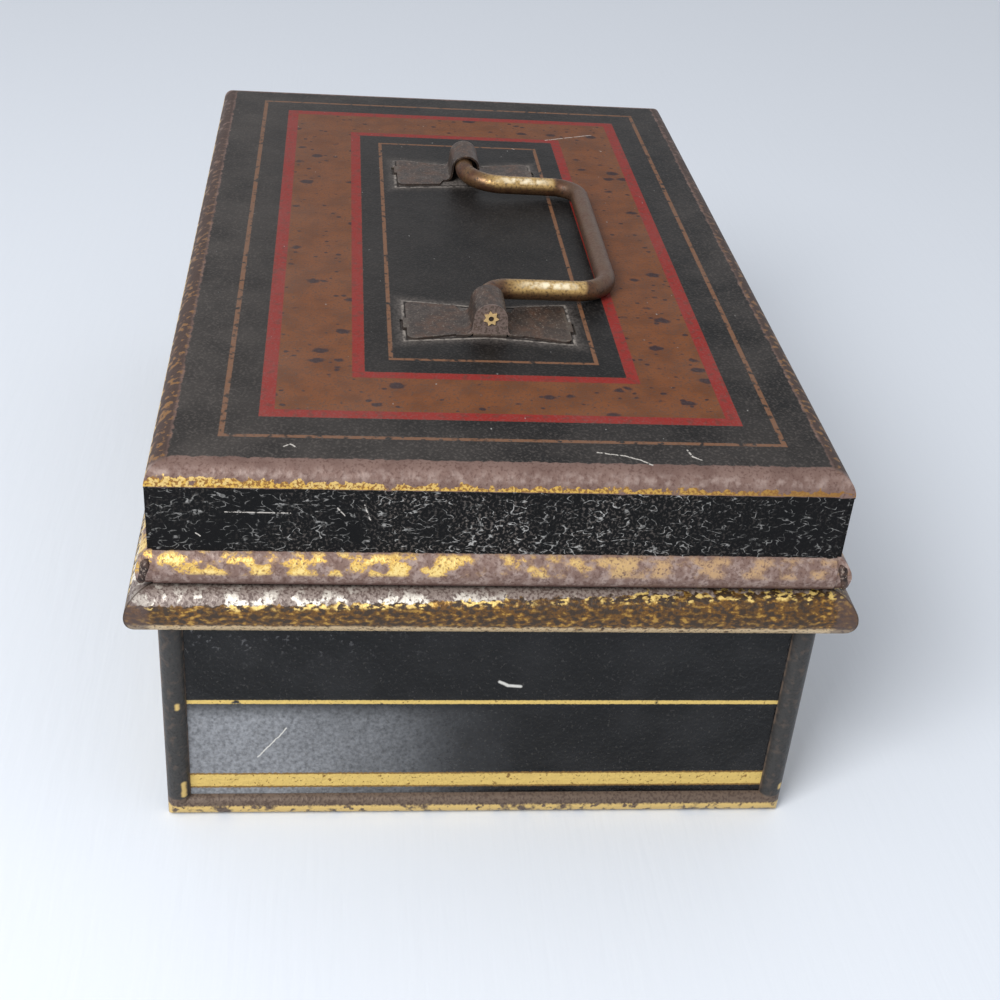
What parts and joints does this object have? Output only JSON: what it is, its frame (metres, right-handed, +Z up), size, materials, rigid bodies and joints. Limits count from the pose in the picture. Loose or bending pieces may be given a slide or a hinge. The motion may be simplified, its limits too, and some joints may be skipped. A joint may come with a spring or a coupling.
{
  "type": "deed box",
  "caption": "black japanned tinplate deed box with gold lining, a half-round moulding round the mouth, a hinged lid, a bail handle and a sliding-bolt lock",
  "frame": {"origin": "centre of the base, on the surface the box stands on", "axes": "+X along the box towards the near end, +Y to the hinge side (the lock faces -Y), +Z up"},
  "size_m": [0.3084, 0.1924, 0.1275],
  "materials": {
    "black_japan": "aged japan lacquer over tinplate, gold and red lining, scratched and dusty",
    "bronzed_tin": "worn bronze powder over purple-brown base coat",
    "aged_steel": "dark oxidised sheet steel with rust stains",
    "worn_brass": "tarnished, bright where it is worn",
    "spring_steel": "blued spring strip"
  },
  "bodies": {
    "body": {"body_wrap": "black_japan", "end_panel_near": "black_japan", "end_panel_far": "black_japan", "mouth_moulding": "bronzed_tin", "hinge_body_leaf_near": "aged_steel", "hinge_body_leaf_far": "aged_steel", "hinge_pin_near": "aged_steel", "hinge_pin_far": "aged_steel", "lock_case": "aged_steel", "lock_guide_posts": "worn_brass", "lock_key_post": "worn_brass", "lock_bolt_spring": "spring_steel", "lock_rivets": "aged_steel", "keyhole_plate": "worn_brass", "keyhole_plate_pins": "worn_brass"},
    "lock_bolt": {"lock_bolt": "worn_brass"},
    "lid": {"lid_shell": "black_japan", "hinge_strap_near": "aged_steel", "hinge_strap_far": "aged_steel", "hinge_rivets": "aged_steel", "lid_catch": "aged_steel", "catch_rivets": "aged_steel", "handle_keeper_near": "aged_steel", "handle_keeper_far": "aged_steel"},
    "handle": {"handle_bail": "worn_brass"}
  },
  "joints": [
    {"name": "lid_hinge", "type": "hinge", "parent": "body", "child": "lid", "pos_m": [0, 0.09085, 0.0765], "axis": [-1, 0, 0], "range_deg": [0, 105]},
    {"name": "handle_pivot", "type": "hinge", "parent": "lid", "child": "handle", "pos_m": [0, 0.0008, 0.1232], "axis": [1, 0, 0], "range_deg": [0, 188]},
    {"name": "lock_bolt_slide", "type": "slide", "parent": "body", "child": "lock_bolt", "axis": [1, 0, 0], "range_m": [0, 0.008]}
  ]
}
